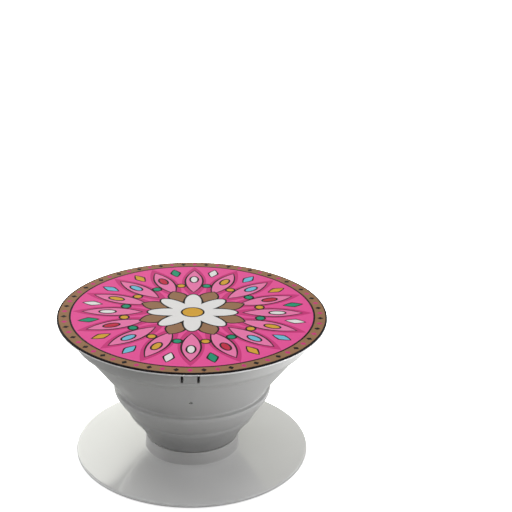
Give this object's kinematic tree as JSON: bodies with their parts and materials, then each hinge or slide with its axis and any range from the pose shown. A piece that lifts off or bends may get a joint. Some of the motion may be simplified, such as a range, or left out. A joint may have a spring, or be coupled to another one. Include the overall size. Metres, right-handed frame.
{
  "type": "collapsible phone grip",
  "caption": "Round stick-on grip for a phone: a printed disc on a folding bellows neck that collapses flat and swivels on its base plate.",
  "frame": {"origin": "centre of the adhesive pad's underside", "axes": "+Z along the grip's axis from the pad to the printed disc, -Y towards the side with the vent and the first notch"},
  "size_m": [0.04, 0.04, 0.023],
  "materials": {
    "pad_gel": "matte",
    "white_gloss": "gloss",
    "white_satin": "satin",
    "soft_bellows": "satin",
    "print_film": "satin"
  },
  "bodies": {
    "base": {"adhesive_pad": "pad_gel", "base_plate": "white_gloss"},
    "neck": {"swivel_hub": "white_satin", "accordion": "soft_bellows"},
    "top": {"lock_ring": "white_satin", "top_disc": "white_satin", "printed_face": "print_film"}
  },
  "joints": [
    {"name": "swivel", "type": "hinge", "parent": "base", "child": "neck", "pos_m": [0, 0, 0.002], "axis": [0, 0, 1], "continuous": true},
    {"name": "collapse", "type": "slide", "parent": "neck", "child": "top", "axis": [0, 0, 1], "range_m": [-0.0164, 0], "deforming": ["accordion"]}
  ]
}
